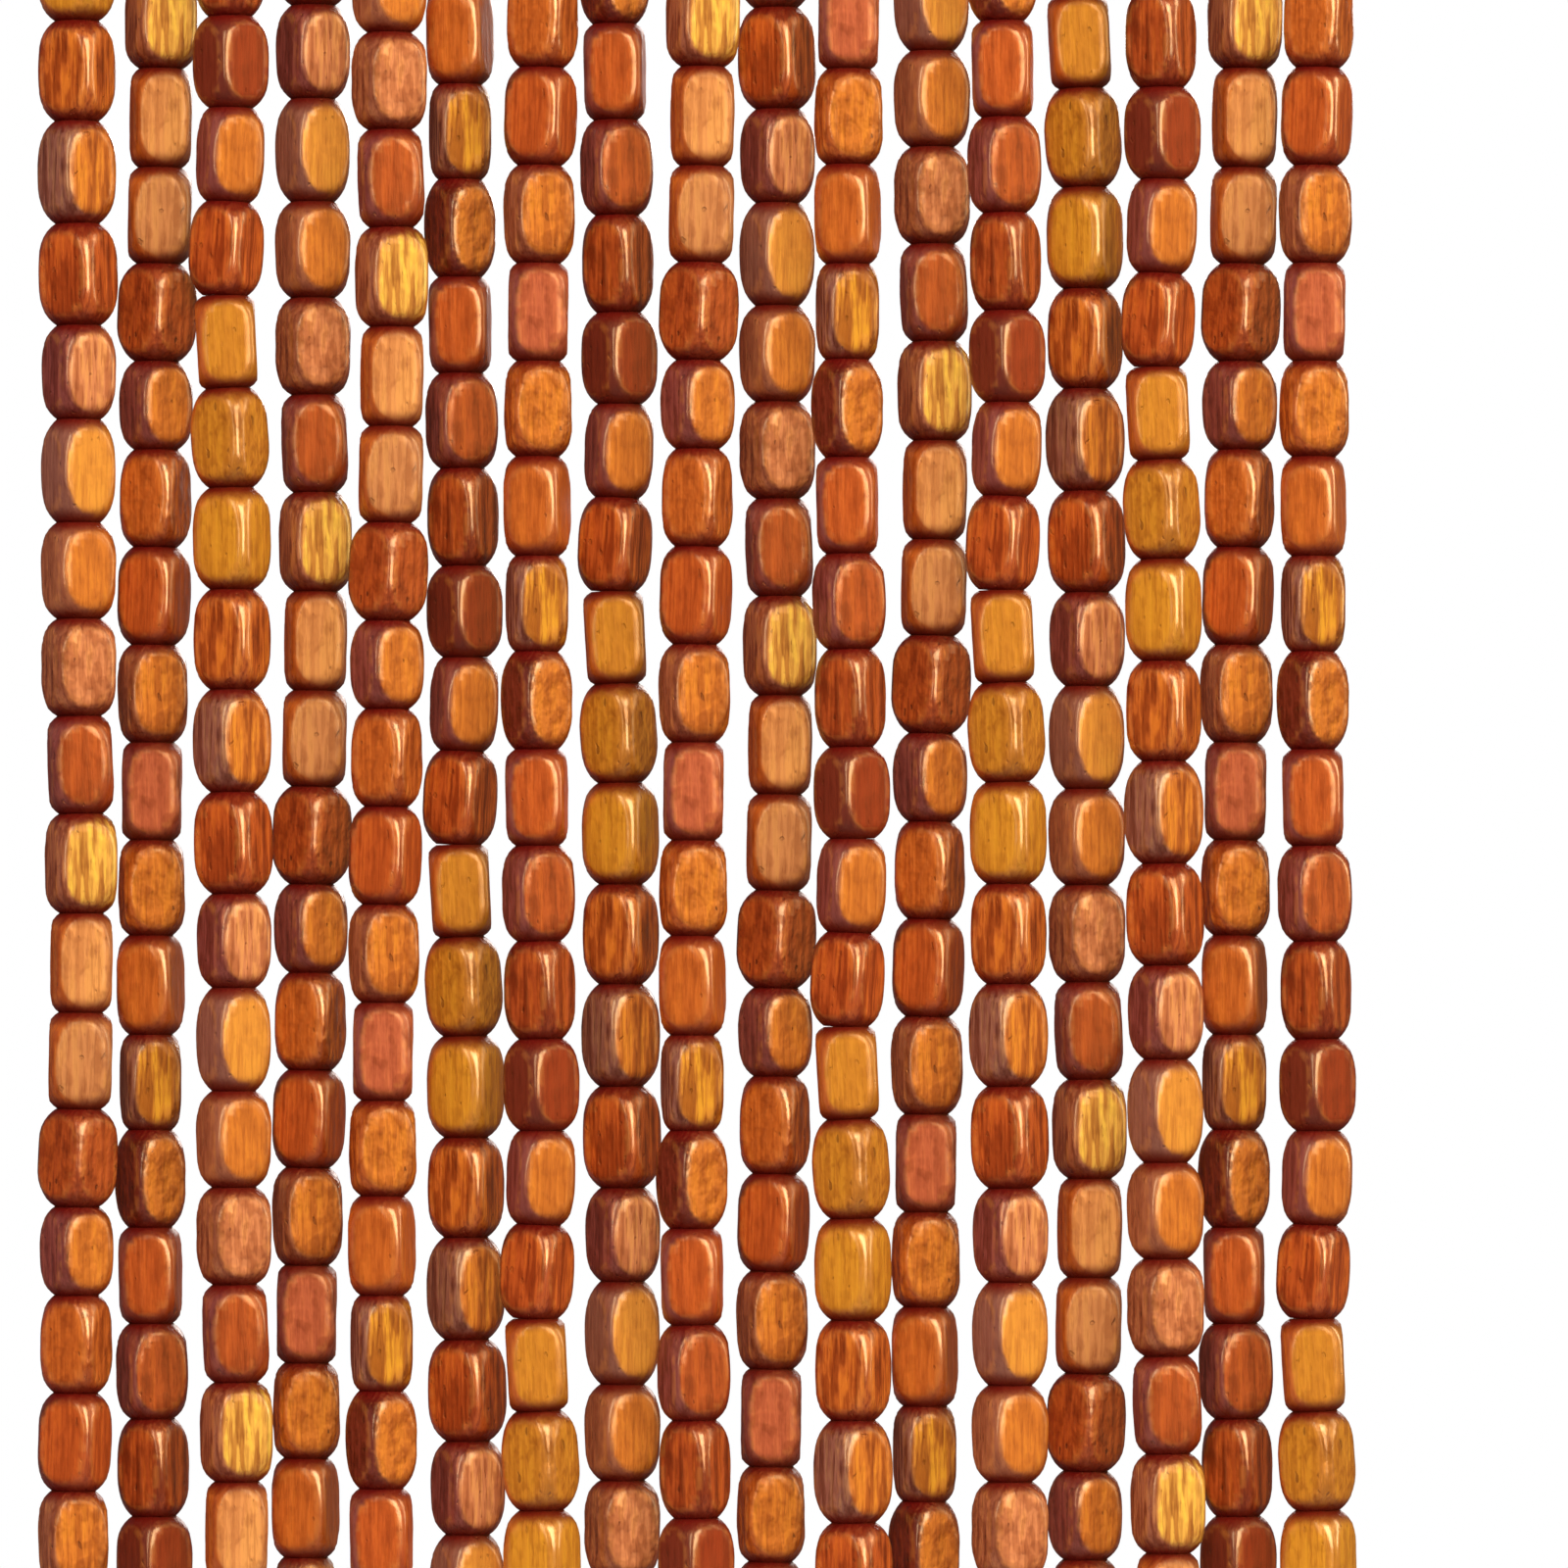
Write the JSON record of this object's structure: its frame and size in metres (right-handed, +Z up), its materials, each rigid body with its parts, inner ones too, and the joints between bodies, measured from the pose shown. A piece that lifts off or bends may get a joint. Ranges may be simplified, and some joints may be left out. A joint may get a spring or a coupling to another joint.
{
  "type": "bead curtain",
  "caption": "Cut length of a hanging bead curtain: close strands of squared, varnished wooden beads on waxed thread, sewn into a folded heading tape.",
  "frame": {"origin": "middle of the heading tape's top edge, where the curtain is held", "axes": "+X along the heading to the right, +Z up the strands, the front faces -Y"},
  "size_m": [0.172, 0.0151, 0.2541],
  "materials": {
    "beads": "gloss varnish over stained grain",
    "thread": "waxed wine-red thread",
    "tape": "plain woven cotton tape"
  },
  "bodies": {
    "root": {"bead_strands": "beads", "heading_tape": "tape"}
  },
  "joints": []
}
